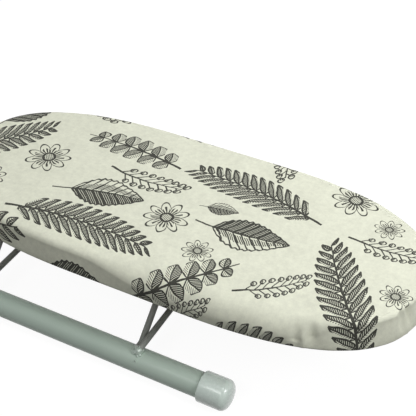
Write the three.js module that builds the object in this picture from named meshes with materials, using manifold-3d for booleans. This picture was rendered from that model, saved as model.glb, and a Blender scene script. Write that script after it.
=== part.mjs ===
// Tabletop ironing board on a fold-flat wire stand.
// Millimetres, +Z up, +X along the board towards its free end, +Y towards the back.
// The origin is on the table, under the middle of the board.
import * as THREE from 'three';
import { mergeVertices } from 'three/addons/utils/BufferGeometryUtils.js';
import Module from 'manifold-3d';

const wasm = await Module();
wasm.setup();

// Board, measured over the cover
const BOARD_LENGTH = 560;
const BOARD_WIDTH = 242;
const END_LENGTH = 227;
const END_FULLNESS = 2.6;
const PANEL_THICKNESS = 16;
const PAD_THICKNESS = 12;
const COVER_THICKNESS = 1;
const COVER_EDGE_ROUND = 11;
const COVER_LOWER_ROUND = 3;
const HEM_WIDTH = 26;
const HEM_RAMP = 7;
const HEM_CHANNEL = 6;
const ELASTIC_DIAMETER = 3.2;

// Feet
const TUBE_DIAMETER = 28;
const TUBE_WALL = 1.4;
const TUBE_LENGTH = 392;
const FOOT_SPACING = 249;
const FOOT_OFFSET = 18; // from the middle of the struts to the middle of the feet
const CAP_WALL = 2.7;
const CAP_DEPTH = 28;
const CAP_END = 5;
const CAP_END_ROUND = 9;
const CAP_CROWN = 1.2;
const CAP_MOUTH_ROUND = 1;

// Wire stand
const ROD_DIAMETER = 7;
const ROD_OVERHANG = 3;
const STRUT_OFFSET = 84; // from the board's left end to the left strut
const STRUT_PITCH = 208;
const STRUT_RISE = 77.3;
const STRUT_SLOPE = THREE.MathUtils.degToRad(48);
const STRUT_LEAN = THREE.MathUtils.degToRad(3);
const STRUT_BEND = 6;
const PIVOT_RISE = 8; // from the middle of a foot tube up to the strut's pin
const PIN_LENGTH = 11; // from the side of the tube inwards
const BEAD_LENGTH = 12;
const BEAD_WIDTH = 9;
const BEAD_HEIGHT = 3.4;

// Hardware under the board
const SADDLE_THICKNESS = 1.2;
const SADDLE_WIDTH = 13;
const SADDLE_FLANGE = 11;
const SADDLE_SPACING = 48;
const STOP_THICKNESS = 1.6;
const STOP_WIDTH = 12;
const STOP_FLANGE = 15;
const STOP_DROP = 15;
const STOP_INSET = 6;
const SCREW_DIAMETER = 3.5;
const SCREW_LENGTH = 12;
const SCREW_HEAD_DIAMETER = 7;
const SCREW_HEAD_HEIGHT = 2.2;
const SCREW_RECESS = 1;

// Clearances
const FIT_GAP = 0.3;
const SEAT_GAP = 0.2;

// Facet counts
const OUTLINE_STEPS = 72;
const TUBE_SIDES = 32;
const ROD_SIDES = 12;
const SCREW_SIDES = 8;
const BEND_STEPS = 4;
const ROUND_STEPS = 4;

// Heights and places that follow from the sizes above
const tubeRadius = TUBE_DIAMETER / 2;
const rodRadius = ROD_DIAMETER / 2;
const capRadius = tubeRadius + FIT_GAP + CAP_WALL;
const footY = FOOT_SPACING / 2;
const footZ = capRadius;
const crownZ = footZ + tubeRadius;
const pivotZ = footZ + PIVOT_RISE;
const tieZ = crownZ + SEAT_GAP + rodRadius;
const tieShift = ROD_DIAMETER + FIT_GAP + (tieZ + rodRadius - pivotZ) * Math.tan(STRUT_LEAN);
const topShift = STRUT_RISE * Math.sin(STRUT_LEAN);
const topZ = pivotZ + STRUT_RISE * Math.cos(STRUT_LEAN);
const panelBottom = topZ + rodRadius + FIT_GAP;
const panelTop = panelBottom + PANEL_THICKNESS;
const padBottom = panelTop + SEAT_GAP;
const padTop = padBottom + PAD_THICKNESS;
const coverTop = padTop + SEAT_GAP + COVER_THICKNESS;
const coverBottom = panelBottom - FIT_GAP - COVER_THICKNESS;
const panelInset = COVER_THICKNESS + FIT_GAP;
const padRound = Math.min(COVER_EDGE_ROUND - COVER_THICKNESS, PAD_THICKNESS - SEAT_GAP);
const coverRound = padRound + COVER_THICKNESS;
const tubeSideY = footY - Math.sqrt(tubeRadius ** 2 - (PIVOT_RISE - rodRadius) ** 2);
const strutFootY = tubeSideY - FIT_GAP - STRUT_BEND * Math.tan(STRUT_SLOPE / 2);
const strutTopY = strutFootY - STRUT_RISE / Math.tan(STRUT_SLOPE);
const leftStrutX = STRUT_OFFSET - BOARD_LENGTH / 2;
const strutPlaces = { right: leftStrutX + STRUT_PITCH, left: leftStrutX };
const footX = leftStrutX + STRUT_PITCH / 2 + FOOT_OFFSET;

function finish(color, roughness, metalness) {
  return new THREE.MeshStandardMaterial({ color, roughness, metalness });
}
const clothLook = finish(0xe2e5d1, 0.95, 0);
const foamLook = finish(0xe6dfc4, 1, 0);
const elasticLook = finish(0xe9e9e4, 0.9, 0);
const boardLook = finish(0xb9935f, 0.85, 0);
const paintLook = finish(0x9ba79d, 0.45, 0.1);
const capLook = finish(0xd9e3da, 0.3, 0);
const zincLook = finish(0xb9bcc0, 0.35, 0.9);

const part = new THREE.Group();

function addMesh(name, geometry, material, parent = part) {
  const mesh = new THREE.Mesh(geometry, material);
  mesh.name = name;
  parent.add(mesh);
  return mesh;
}

// Boolean helpers
function toSolid(geometry) {
  const bare = geometry.clone();
  bare.deleteAttribute('normal');
  bare.deleteAttribute('uv');
  const merged = mergeVertices(bare, 1e-5);
  const mesh = new wasm.Mesh({
    numProp: 3,
    vertProperties: new Float32Array(merged.attributes.position.array),
    triVerts: new Uint32Array(merged.index.array),
  });
  return new wasm.Manifold(mesh);
}

function toGeometry(solid) {
  const mesh = solid.getMesh();
  const geometry = new THREE.BufferGeometry();
  geometry.setAttribute('position', new THREE.BufferAttribute(new Float32Array(mesh.vertProperties), 3));
  geometry.setIndex(new THREE.BufferAttribute(new Uint32Array(mesh.triVerts), 1));
  return geometry;
}

// One ring of the board's outline, drawn in by an inset
function outlineRing(inset, z) {
  const straight = BOARD_LENGTH / 2 - END_LENGTH;
  const endReach = END_LENGTH - inset;
  const halfWidth = BOARD_WIDTH / 2 - inset;
  const power = 2 / END_FULLNESS;
  const ring = [];
  for (let step = 0; step < OUTLINE_STEPS; step += 1) {
    const angle = (2 * Math.PI * (step + 0.5)) / OUTLINE_STEPS;
    const along = Math.cos(angle);
    const across = Math.sin(angle);
    const x = Math.sign(along) * (straight + endReach * Math.abs(along) ** power);
    const y = Math.sign(across) * halfWidth * Math.abs(across) ** power;
    ring.push(new THREE.Vector3(x, y, z));
  }
  return ring;
}

// A closed solid through a stack of rings, with a flat fan over each end
function loftSolid(rings) {
  const count = rings[0].length;
  const positions = [];
  const indices = [];
  for (const ring of rings) {
    for (const point of ring) {
      positions.push(point.x, point.y, point.z);
    }
  }
  for (let row = 0; row < rings.length - 1; row += 1) {
    for (let step = 0; step < count; step += 1) {
      const next = (step + 1) % count;
      const a = row * count + step;
      const b = row * count + next;
      const c = (row + 1) * count + next;
      const d = (row + 1) * count + step;
      indices.push(a, b, c, a, c, d);
    }
  }
  const addFan = (row, outward) => {
    const centre = positions.length / 3;
    const middle = new THREE.Vector3();
    for (const point of rings[row]) {
      middle.addScaledVector(point, 1 / count);
    }
    positions.push(middle.x, middle.y, middle.z);
    for (let step = 0; step < count; step += 1) {
      const next = (step + 1) % count;
      const a = row * count + step;
      const b = row * count + next;
      if (outward) {
        indices.push(centre, a, b);
      } else {
        indices.push(centre, b, a);
      }
    }
  };
  addFan(0, false);
  addFan(rings.length - 1, true);
  const geometry = new THREE.BufferGeometry();
  geometry.setAttribute('position', new THREE.Float32BufferAttribute(positions, 3));
  geometry.setIndex(indices);
  return geometry;
}

// Rings from the points of a section: how far in from the edge, and how high
function sectionRings(section) {
  return section.map(([inset, z]) => outlineRing(inset, z));
}

function quarterRound(insetCentre, zCentre, radius, from, to) {
  const points = [];
  for (let step = 0; step <= ROUND_STEPS; step += 1) {
    const angle = THREE.MathUtils.degToRad(from + ((to - from) * step) / ROUND_STEPS);
    points.push([insetCentre - radius * Math.cos(angle), zCentre + radius * Math.sin(angle)]);
  }
  return points;
}

// A round rod along a path of points
function rodAlong(points, radius, sides) {
  const rings = [];
  const normal = new THREE.Vector3(1, 0, 0);
  for (let step = 0; step < points.length; step += 1) {
    const before = points[Math.max(step - 1, 0)];
    const here = points[step];
    const after = points[Math.min(step + 1, points.length - 1)];
    const into = here.clone().sub(before).normalize();
    const out = after.clone().sub(here).normalize();
    const along = into.clone().add(out).normalize();
    const side = normal.clone().addScaledVector(along, -normal.dot(along)).normalize();
    const up = along.clone().cross(side);
    const ring = [];
    for (let turn = 0; turn < sides; turn += 1) {
      const angle = (2 * Math.PI * turn) / sides;
      const offset = side.clone().multiplyScalar(radius * Math.cos(angle));
      offset.addScaledVector(up, radius * Math.sin(angle));
      ring.push(here.clone().add(offset));
    }
    rings.push(ring);
  }
  return loftSolid(rings);
}

// The middle line of a bent rod in one plane, with round bends at its inner corners
function bentLine(corners, bend) {
  const line = [corners[0]];
  for (let step = 1; step < corners.length - 1; step += 1) {
    const corner = corners[step];
    const back = corners[step - 1].clone().sub(corner).normalize();
    const ahead = corners[step + 1].clone().sub(corner).normalize();
    const half = back.angleTo(ahead) / 2;
    const middle = back.clone().add(ahead).normalize().multiplyScalar(bend / Math.sin(half)).add(corner);
    const start = back.clone().multiplyScalar(bend / Math.tan(half)).add(corner).sub(middle);
    const end = ahead.clone().multiplyScalar(bend / Math.tan(half)).add(corner).sub(middle);
    const sweep = start.angleTo(end);
    for (let turn = 0; turn <= BEND_STEPS; turn += 1) {
      const share = turn / BEND_STEPS;
      const a = start.clone().multiplyScalar(Math.sin((1 - share) * sweep) / Math.sin(sweep));
      const b = end.clone().multiplyScalar(Math.sin(share * sweep) / Math.sin(sweep));
      line.push(a.add(b).add(middle));
    }
  }
  line.push(corners[corners.length - 1]);
  return line;
}

// A round piece turned about Z with flats that just touch its true radius
function turned(profile, sides) {
  const grow = 1 / Math.cos(Math.PI / sides);
  const points = profile.map(([radius, z]) => new THREE.Vector2(radius * grow, z));
  const geometry = new THREE.LatheGeometry(points, sides);
  geometry.rotateY(Math.PI / sides);
  geometry.rotateX(Math.PI / 2);
  return geometry;
}

function cylinderAlongY(radius, length, x, y, z, sides) {
  const half = length / 2;
  const geometry = turned([[0, -half], [radius, -half], [radius, half], [0, half]], sides);
  geometry.rotateX(-Math.PI / 2);
  geometry.translate(x, y, z);
  return geometry;
}

// Screws: where each one goes in, from below
const screwPlaces = [];
for (const [side, place] of Object.entries(strutPlaces)) {
  for (const [end, sign] of [['front', -1], ['rear', 1]]) {
    const strap = rodRadius + FIT_GAP + SADDLE_THICKNESS;
    const reach = strap + SADDLE_FLANGE / 2;
    const barX = place + topShift;
    screwPlaces.push({
      name: `${side}_${end}_saddle_screw_inner`,
      x: barX - reach,
      y: (sign * SADDLE_SPACING) / 2,
      seat: panelBottom - FIT_GAP - SADDLE_THICKNESS,
    });
    screwPlaces.push({
      name: `${side}_${end}_saddle_screw_outer`,
      x: barX + reach,
      y: (sign * SADDLE_SPACING) / 2,
      seat: panelBottom - FIT_GAP - SADDLE_THICKNESS,
    });
    screwPlaces.push({
      name: `${side}_${end}_stop_screw`,
      x: barX - rodRadius - FIT_GAP - STOP_THICKNESS - STOP_FLANGE / 2,
      y: sign * (strutTopY + STOP_INSET),
      seat: panelBottom - FIT_GAP - STOP_THICKNESS,
    });
  }
}

const screwRadius = SCREW_DIAMETER / 2;
const pilotRadius = screwRadius + FIT_GAP;

function pilotHole(place) {
  const depth = SCREW_LENGTH + FIT_GAP;
  const low = place.seat - SCREW_HEAD_HEIGHT;
  const high = place.seat - SEAT_GAP + depth;
  const geometry = turned([[0, low], [pilotRadius, low], [pilotRadius, high], [0, high]], SCREW_SIDES);
  geometry.translate(place.x, place.y, 0);
  return toSolid(geometry);
}

// Panel, with a blind pilot hole for every screw
let panelSolid = toSolid(loftSolid(sectionRings([
  [panelInset, panelBottom],
  [panelInset, panelTop],
])));
for (const place of screwPlaces) {
  panelSolid = panelSolid.subtract(pilotHole(place));
}
addMesh('board_panel', toGeometry(panelSolid), boardLook);

// Pad, with its upper edge rounded under the cover
addMesh('foam_pad', loftSolid(sectionRings([
  [panelInset, padBottom],
  ...quarterRound(panelInset + padRound, padTop - padRound, padRound, 0, 90),
])), foamLook);

// Cover: over the top, down the side and under the edge to an elastic hem
const elasticRadius = ELASTIC_DIAMETER / 2;
const hemRoof = panelBottom - FIT_GAP;
const hemShelf = hemRoof - ELASTIC_DIAMETER - FIT_GAP;
const rampStart = HEM_WIDTH - HEM_CHANNEL - HEM_RAMP;
const rampEnd = HEM_WIDTH - HEM_CHANNEL;
addMesh('cover', loftSolid(sectionRings([
  ...quarterRound(coverRound, coverTop - coverRound, padRound, 90, 0),
  [COVER_THICKNESS, hemRoof],
  [rampStart, hemRoof],
  [rampEnd, hemShelf],
  [HEM_WIDTH, hemShelf],
  [HEM_WIDTH, hemShelf - COVER_THICKNESS],
  [rampEnd, hemShelf - COVER_THICKNESS],
  [rampStart, coverBottom],
  ...quarterRound(COVER_LOWER_ROUND, coverBottom + COVER_LOWER_ROUND, COVER_LOWER_ROUND, -90, 0),
  ...quarterRound(coverRound, coverTop - coverRound, coverRound, 0, 90),
])), clothLook);

// Elastic in the hem
function elasticRing() {
  const section = [];
  const middle = HEM_WIDTH - HEM_CHANNEL / 2;
  const height = hemRoof - elasticRadius - FIT_GAP / 2;
  const sides = 8;
  const positions = [];
  const indices = [];
  for (let turn = 0; turn < sides; turn += 1) {
    const angle = (2 * Math.PI * turn) / sides;
    section.push([middle + elasticRadius * Math.cos(angle), height + elasticRadius * Math.sin(angle)]);
  }
  for (const ring of sectionRings(section)) {
    for (const point of ring) {
      positions.push(point.x, point.y, point.z);
    }
  }
  for (let turn = 0; turn < sides; turn += 1) {
    const other = (turn + 1) % sides;
    for (let step = 0; step < OUTLINE_STEPS; step += 1) {
      const next = (step + 1) % OUTLINE_STEPS;
      const a = turn * OUTLINE_STEPS + step;
      const b = turn * OUTLINE_STEPS + next;
      const c = other * OUTLINE_STEPS + next;
      const d = other * OUTLINE_STEPS + step;
      indices.push(a, c, b, a, d, c);
    }
  }
  const geometry = new THREE.BufferGeometry();
  geometry.setAttribute('position', new THREE.Float32BufferAttribute(positions, 3));
  geometry.setIndex(indices);
  return geometry;
}
addMesh('hem_elastic', elasticRing(), elasticLook);

// Feet: a hollow tube with a hole for each strut's pin, and a push-on cap at each end
for (const [end, sign] of [['front', -1], ['rear', 1]]) {
  const foot = new THREE.Group();
  foot.position.set(footX, sign * footY, footZ);
  part.add(foot);
  const half = TUBE_LENGTH / 2;
  const bore = tubeRadius - TUBE_WALL;
  const tube = turned([
    [bore, -half],
    [tubeRadius, -half],
    [tubeRadius, half],
    [bore, half],
    [bore, -half],
  ], TUBE_SIDES);
  tube.rotateY(Math.PI / 2);
  let tubeSolid = toSolid(tube);
  for (const place of Object.values(strutPlaces)) {
    const drill = cylinderAlongY(
      rodRadius + FIT_GAP,
      TUBE_DIAMETER,
      place - footX,
      -sign * tubeRadius,
      PIVOT_RISE,
      ROD_SIDES,
    );
    tubeSolid = tubeSolid.subtract(toSolid(drill));
  }
  addMesh(`${end}_foot_tube`, toGeometry(tubeSolid), paintLook, foot);
  for (const [side, turn] of [['right', 1], ['left', -1]]) {
    const floor = half + SEAT_GAP;
    const mouth = floor - CAP_DEPTH;
    const outer = floor + CAP_END;
    const socket = tubeRadius + FIT_GAP;
    const rim = [];
    for (let step = 0; step <= ROUND_STEPS; step += 1) {
      const angle = (Math.PI / 2) * (step / ROUND_STEPS);
      const reach = capRadius - CAP_END_ROUND * (1 - Math.cos(angle));
      rim.push([reach, outer - CAP_END_ROUND * (1 - Math.sin(angle))]);
    }
    const cap = turned([
      [0, floor],
      [socket, floor],
      [socket, mouth],
      [capRadius - CAP_MOUTH_ROUND, mouth],
      [capRadius, mouth + CAP_MOUTH_ROUND],
      ...rim,
      [0, outer + CAP_CROWN],
    ], TUBE_SIDES);
    cap.rotateY((turn * Math.PI) / 2);
    addMesh(`${end}_${side}_end_cap`, cap, capLook, foot);
  }
}

// Stand: at each place a strut frame hinged in the tubes, and a tie rod across their crowns
for (const [side, place] of Object.entries(strutPlaces)) {
  const tieX = place + tieShift;
  const tieLength = FOOT_SPACING + 2 * ROD_OVERHANG;
  addMesh(`${side}_tie_rod`, cylinderAlongY(rodRadius, tieLength, tieX, 0, tieZ, ROD_SIDES), paintLook);

  const strutGroup = new THREE.Group();
  strutGroup.position.set(place, 0, pivotZ);
  strutGroup.rotation.y = STRUT_LEAN;
  part.add(strutGroup);
  const pinEnd = tubeSideY + PIN_LENGTH;
  const corners = [
    new THREE.Vector3(0, -pinEnd, 0),
    new THREE.Vector3(0, -strutFootY, 0),
    new THREE.Vector3(0, -strutTopY, STRUT_RISE),
    new THREE.Vector3(0, strutTopY, STRUT_RISE),
    new THREE.Vector3(0, strutFootY, 0),
    new THREE.Vector3(0, pinEnd, 0),
  ];
  const wire = rodAlong(bentLine(corners, STRUT_BEND), rodRadius, ROD_SIDES);
  addMesh(`${side}_strut_frame`, wire, paintLook, strutGroup);

  for (const [end, sign] of [['front', -1], ['rear', 1]]) {
    // Weld bead round the tie rod's end, on the crown of the tube
    const lump = new THREE.SphereGeometry(1, 12, 8);
    lump.scale(BEAD_LENGTH / 2, BEAD_WIDTH / 2, BEAD_HEIGHT);
    lump.translate(tieX, sign * (footY + ROD_OVERHANG), crownZ);
    const tubeCut = turned([
      [0, -BEAD_LENGTH],
      [tubeRadius + SEAT_GAP, -BEAD_LENGTH],
      [tubeRadius + SEAT_GAP, BEAD_LENGTH],
      [0, BEAD_LENGTH],
    ], TUBE_SIDES);
    tubeCut.rotateY(Math.PI / 2);
    tubeCut.translate(tieX, sign * footY, footZ);
    const rodCut = cylinderAlongY(rodRadius + SEAT_GAP, tieLength + 2 * SEAT_GAP, tieX, 0, tieZ, ROD_SIDES);
    const bead = toSolid(lump).subtract(toSolid(tubeCut)).subtract(toSolid(rodCut));
    addMesh(`${end}_${side}_weld_bead`, toGeometry(bead), paintLook);
  }
}

// Saddles that hold the top bars under the panel, and stops for the upright position
function saddleSolid() {
  const inner = rodRadius + FIT_GAP;
  const outer = inner + SADDLE_THICKNESS;
  const seat = inner;
  const shape = new THREE.Shape();
  const steps = 12;
  shape.moveTo(-outer - SADDLE_FLANGE, seat);
  shape.lineTo(-outer - SADDLE_FLANGE, seat - SADDLE_THICKNESS);
  shape.lineTo(-outer, seat - SADDLE_THICKNESS);
  for (let step = 0; step <= steps; step += 1) {
    const angle = Math.PI + (Math.PI * step) / steps;
    shape.lineTo(outer * Math.cos(angle), outer * Math.sin(angle));
  }
  shape.lineTo(outer, seat - SADDLE_THICKNESS);
  shape.lineTo(outer + SADDLE_FLANGE, seat - SADDLE_THICKNESS);
  shape.lineTo(outer + SADDLE_FLANGE, seat);
  shape.lineTo(inner, seat);
  for (let step = 0; step <= steps; step += 1) {
    const angle = 2 * Math.PI - (Math.PI * step) / steps;
    shape.lineTo(inner * Math.cos(angle), inner * Math.sin(angle));
  }
  shape.lineTo(-inner, seat);
  shape.closePath();
  const geometry = new THREE.ExtrudeGeometry(shape, { depth: SADDLE_WIDTH, bevelEnabled: false });
  geometry.translate(0, 0, -SADDLE_WIDTH / 2);
  geometry.rotateX(Math.PI / 2);
  return geometry;
}

function stopSolid() {
  const shape = new THREE.Shape();
  shape.moveTo(0, 0);
  shape.lineTo(-STOP_THICKNESS - STOP_FLANGE, 0);
  shape.lineTo(-STOP_THICKNESS - STOP_FLANGE, -STOP_THICKNESS);
  shape.lineTo(-STOP_THICKNESS, -STOP_THICKNESS);
  shape.lineTo(-STOP_THICKNESS, -STOP_DROP);
  shape.lineTo(0, -STOP_DROP);
  shape.closePath();
  const geometry = new THREE.ExtrudeGeometry(shape, { depth: STOP_WIDTH, bevelEnabled: false });
  geometry.translate(0, 0, -STOP_WIDTH / 2);
  geometry.rotateX(Math.PI / 2);
  return geometry;
}

for (const [side, place] of Object.entries(strutPlaces)) {
  for (const [end, sign] of [['front', -1], ['rear', 1]]) {
    const barX = place + topShift;
    const saddle = saddleSolid();
    saddle.translate(barX, (sign * SADDLE_SPACING) / 2, topZ);
    let saddleBody = toSolid(saddle);
    for (const screw of screwPlaces.filter((each) => each.name.startsWith(`${side}_${end}_saddle`))) {
      saddleBody = saddleBody.subtract(pilotHole(screw));
    }
    addMesh(`${side}_${end}_saddle`, toGeometry(saddleBody), zincLook);

    const stop = stopSolid();
    const stopFace = barX - rodRadius - FIT_GAP - STOP_DROP * Math.sin(STRUT_LEAN);
    stop.translate(stopFace, sign * (strutTopY + STOP_INSET), panelBottom - FIT_GAP);
    let stopBody = toSolid(stop);
    for (const screw of screwPlaces.filter((each) => each.name === `${side}_${end}_stop_screw`)) {
      stopBody = stopBody.subtract(pilotHole(screw));
    }
    addMesh(`${side}_${end}_stop`, toGeometry(stopBody), zincLook);
  }
}

for (const place of screwPlaces) {
  const headRadius = SCREW_HEAD_DIAMETER / 2;
  const seat = -SEAT_GAP;
  const screw = turned([
    [0, seat - SCREW_HEAD_HEIGHT + SCREW_RECESS],
    [headRadius * 0.35, seat - SCREW_HEAD_HEIGHT],
    [headRadius * 0.7, seat - SCREW_HEAD_HEIGHT],
    [headRadius, seat - SCREW_HEAD_HEIGHT * 0.45],
    [headRadius, seat],
    [screwRadius, seat],
    [screwRadius, seat + SCREW_LENGTH - SCREW_DIAMETER],
    [0, seat + SCREW_LENGTH],
  ], SCREW_SIDES);
  const mesh = addMesh(place.name, screw, zincLook);
  mesh.position.set(place.x, place.y, place.seat);
}

export default part;
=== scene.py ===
"""Looks of the tabletop ironing board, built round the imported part. Lengths are in millimetres
until a mesh is made, and the frame is the part's: +Z up, +X to the free end, +Y to the back."""
import math

import bmesh
import bpy
import numpy as np
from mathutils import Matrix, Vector, noise


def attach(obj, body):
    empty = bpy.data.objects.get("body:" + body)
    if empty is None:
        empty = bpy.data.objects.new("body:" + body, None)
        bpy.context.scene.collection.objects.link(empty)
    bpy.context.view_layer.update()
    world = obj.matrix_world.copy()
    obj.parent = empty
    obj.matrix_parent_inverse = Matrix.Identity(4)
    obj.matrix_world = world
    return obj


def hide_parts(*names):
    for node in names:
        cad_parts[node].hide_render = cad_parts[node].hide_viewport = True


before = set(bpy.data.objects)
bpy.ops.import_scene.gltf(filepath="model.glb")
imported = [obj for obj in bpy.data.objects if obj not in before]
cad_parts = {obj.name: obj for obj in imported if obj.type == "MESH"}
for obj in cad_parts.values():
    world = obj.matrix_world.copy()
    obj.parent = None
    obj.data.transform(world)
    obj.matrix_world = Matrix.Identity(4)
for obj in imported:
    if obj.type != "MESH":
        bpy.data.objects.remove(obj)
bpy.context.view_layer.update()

MM = 0.001

# Board
BOARD_LENGTH = 560
BOARD_WIDTH = 242
END_LENGTH = 227
END_FULLNESS = 2.6
SPINE_HALF = 150.0
SPINE_SHARE = 0.04
PANEL_BOTTOM = 106.0
PANEL_TOP = 122.0
PANEL_INSET = 3.2
PANEL_ROUND = 11.0
PANEL_LOWER_ROUND = 1.2
PANEL_RIM = 40.0

# Cover and pad
COVER_TOP = 135.4
COVER_BOTTOM = 104.7
CLOTH_THICKNESS = 0.8
CLOTH_CLEAR = 0.3
CROWN_WIDTH = 64.0
CROWN_STEPS = 11
TOP_WAVE = 0.35
TOP_WAVE_LENGTH = 55.0
LOWER_ROUND = 3.3
HEM_MIDDLE = 23.0
HEM_HEIGHT = 103.3
HEM_RADIUS = 2.6
ELASTIC_RADIUS = 1.6
PAD_CLEAR = 1.5
PAD_EDGE = 0.8
PAD_TAPER = 0.4

# Rounded edge of the cover, firm on the left and behind, soft in front and tight at the tip: its reach
# inwards, its drop, the fall of the crown behind it and the lean of the side below it
FIRM_REACH = 9.0
FIRM_DROP = 6.2
FIRM_CROWN = 0.2
FIRM_LEAN = 3.4
SOFT_REACH = 22.0
SOFT_DROP = 16.5
SOFT_CROWN = 3.8
TIP_REACH = 6.0
TIP_DROP = 4.0
TIP_CROWN = 0.5
TIP_LEAN = 6.5

# Where it turns from firm to soft and from soft to tip along X, and where along Y the front starts
SOFT_FROM = -52.0
SOFT_TO = 28.0
SOFT_FRONT = -90.0
TIP_FROM = 186.0
TIP_TO = 226.0

# How sharply the outline bends, per millimetre, where the folds of its ends start and are full
END_BEND_FROM = 0.0022
END_BEND_FULL = 0.0065

# What a slack stretch beside the right strut adds to the soft edge
SAG_PLACE = 8.0
SAG_WIDTH = 42.0
SAG_REACH = 9.0
SAG_DROP = 0.6
SAG_CROWN = -2.4

# Feet
TUBE_RADIUS = 14.0
TUBE_WALL = 1.4
TUBE_HALF = 196.0
FOOT_X = -74.0
FOOT_Y = 124.5
FOOT_Z = 17.0
CAP_RADIUS = 17.0
CAP_BORE = 14.3
CAP_DEPTH = 28.0
CAP_END = 5.0
CAP_ROUND = 9.0
CAP_CROWN = 1.2
CAP_FULLNESS = 2.6
CAP_LIP = 1.2
SEAT_GAP = 0.2
TUBE_SIDES = 96

# Wire stand
ROD_RADIUS = 3.5
ROD_SIDES = 28
BEND_STEPS = 10
STRUT_X = {"right": 12.0, "left": -196.0}
PIVOT_Z = 25.0
STRUT_RISE = 77.3
STRUT_SLOPE = math.radians(48)
STRUT_LEAN = math.radians(3)
STRUT_BEND = 6.0
PIN_LENGTH = 11.0
TIE_Z = 34.7
TIE_HALF = FOOT_Y + 0.5
TUBE_CREST_Z = FOOT_Z + TUBE_RADIUS

# Lumps of a weld: place from the tie, the foot and the tube's crest, half sizes, roughness, detail
WELD_LUMPS = [
    ((-0.6, 0.8, 2.0), (4.9, 5.6, 5.2), 0.16, 4),
    ((-5.2, 0.4, -0.4), (5.0, 5.6, 3.4), 0.2, 4),
    ((2.2, 3.6, -0.4), (2.6, 2.4, 2.0), 0.25, 3),
]
# Beads of spatter beside it: turn round the tube from its crest in degrees, and radius
SPATTER = [(24, 1.6), (46, 1.5)]
SPATTER_SHIFT = 0.6
SPATTER_LIFT = 0.2
SPATTER_ROUGHNESS = 0.3
SPATTER_DETAIL = 3
SKIN_SCALE = 1.9

# Hardware under the panel
SADDLE_WIDTH = 13.0
SADDLE_FLANGE = 11.0
SADDLE_THICKNESS = 1.2
SADDLE_Y = 24.0
SADDLE_FOLD = 0.4
SADDLE_FOLD_RISE = 0.5
STOP_WIDTH = 12.0
STOP_THICKNESS = 1.6
STOP_FLANGE = 15.0
STOP_DROP = 15.0
STOP_INSET = 6.0
STOP_FOLD = 1.2
STOP_FOLD_MIDDLE = 0.35
STRIP_SOFTENING = 0.25
LEAST_MITRE = 0.3
FIT_GAP = 0.3
HEAD_RADIUS = 3.5
HEAD_HEIGHT = 2.2
HEAD_ROUND = 0.15
HEAD_DOME = 0.07
HEAD_FACE_RISE = 0.1
HEAD_FACE = (0, 0.35, 0.7, 1.05, 1.4, 1.75, 2.1, 2.6)
HEAD_SIDE = [(3.1, 1.0), (3.4, 1.5)]
SHANK_RADIUS = 1.75
SHANK_END = 8.3
SCREW_TIP = 11.8
SCREW_SIDES = 48
RECESS_HALF = 0.3
RECESS_REACH = 1.9
RECESS_DEPTH = 0.9

TUBE_SIDE_Y = FOOT_Y - math.sqrt(TUBE_RADIUS ** 2 - (PIVOT_Z - FOOT_Z - ROD_RADIUS) ** 2)
STRUT_FOOT_Y = TUBE_SIDE_Y - FIT_GAP - STRUT_BEND * math.tan(STRUT_SLOPE / 2)
STRUT_TOP_Y = STRUT_FOOT_Y - STRUT_RISE / math.tan(STRUT_SLOPE)
TOP_SHIFT = STRUT_RISE * math.sin(STRUT_LEAN)
TOP_Z = PIVOT_Z + STRUT_RISE * math.cos(STRUT_LEAN)
TIE_SHIFT = 2 * ROD_RADIUS + FIT_GAP + (TIE_Z + ROD_RADIUS - PIVOT_Z) * math.tan(STRUT_LEAN)

# Camera, from the photograph
CAMERA_AT = Vector((389.2, -675.6, 758.9)) * MM
CAMERA_ELEVATION = math.radians(39)
CAMERA_HEADING = math.radians(27.63)
CAMERA_LENS = 79.98
SENSOR = 36.0

scene = bpy.context.scene
scene.view_settings.view_transform = "Standard"


# Node helpers
class Value:
    """A number that flows in a node tree; arithmetic on it adds math nodes."""

    def __init__(self, tree, source):
        self.tree = tree
        self.source = source

    def call(self, operation, *others):
        return math_node(self.tree, operation, self, *others)

    def __add__(self, other):
        return self.call("ADD", other)

    def __sub__(self, other):
        return self.call("SUBTRACT", other)

    def __rsub__(self, other):
        return math_node(self.tree, "SUBTRACT", other, self)

    def __mul__(self, other):
        return self.call("MULTIPLY", other)

    def __truediv__(self, other):
        return self.call("DIVIDE", other)

    def __lt__(self, other):
        return self.call("LESS_THAN", other)

    def __gt__(self, other):
        return self.call("GREATER_THAN", other)

    def __abs__(self):
        return self.call("ABSOLUTE")


def link(tree, source, target):
    if isinstance(source, Value):
        source = source.source
    tree.links.new(source, target)


def math_node(tree, operation, *inputs):
    node = tree.nodes.new("ShaderNodeMath")
    node.operation = operation
    for socket, value in zip(node.inputs, inputs):
        if isinstance(value, Value):
            link(tree, value, socket)
        else:
            socket.default_value = value
    return Value(tree, node.outputs[0])


def either(first, *others):
    """The largest of some inks: inked where any of them is."""
    for other in others:
        first = first.call("MAXIMUM", other)
    return first


def new_material(name):
    material = bpy.data.materials.new(name)
    material.use_nodes = True
    tree = material.node_tree
    shader = tree.nodes["Principled BSDF"]
    return material, tree, shader


def set_inputs(node, values):
    for name, value in values.items():
        node.inputs[name.replace("_", " ")].default_value = value


def add(tree, kind, **values):
    node = tree.nodes.new(kind)
    set_inputs(node, values)
    return node


def object_point(tree):
    return tree.nodes.new("ShaderNodeTexCoord").outputs["Object"]


def flat_map(tree, name):
    node = tree.nodes.new("ShaderNodeUVMap")
    node.uv_map = name
    return node.outputs["UV"]


def split_point(tree, point):
    node = tree.nodes.new("ShaderNodeSeparateXYZ")
    link(tree, point, node.inputs["Vector"])
    return Value(tree, node.outputs["X"]), Value(tree, node.outputs["Y"])


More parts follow.
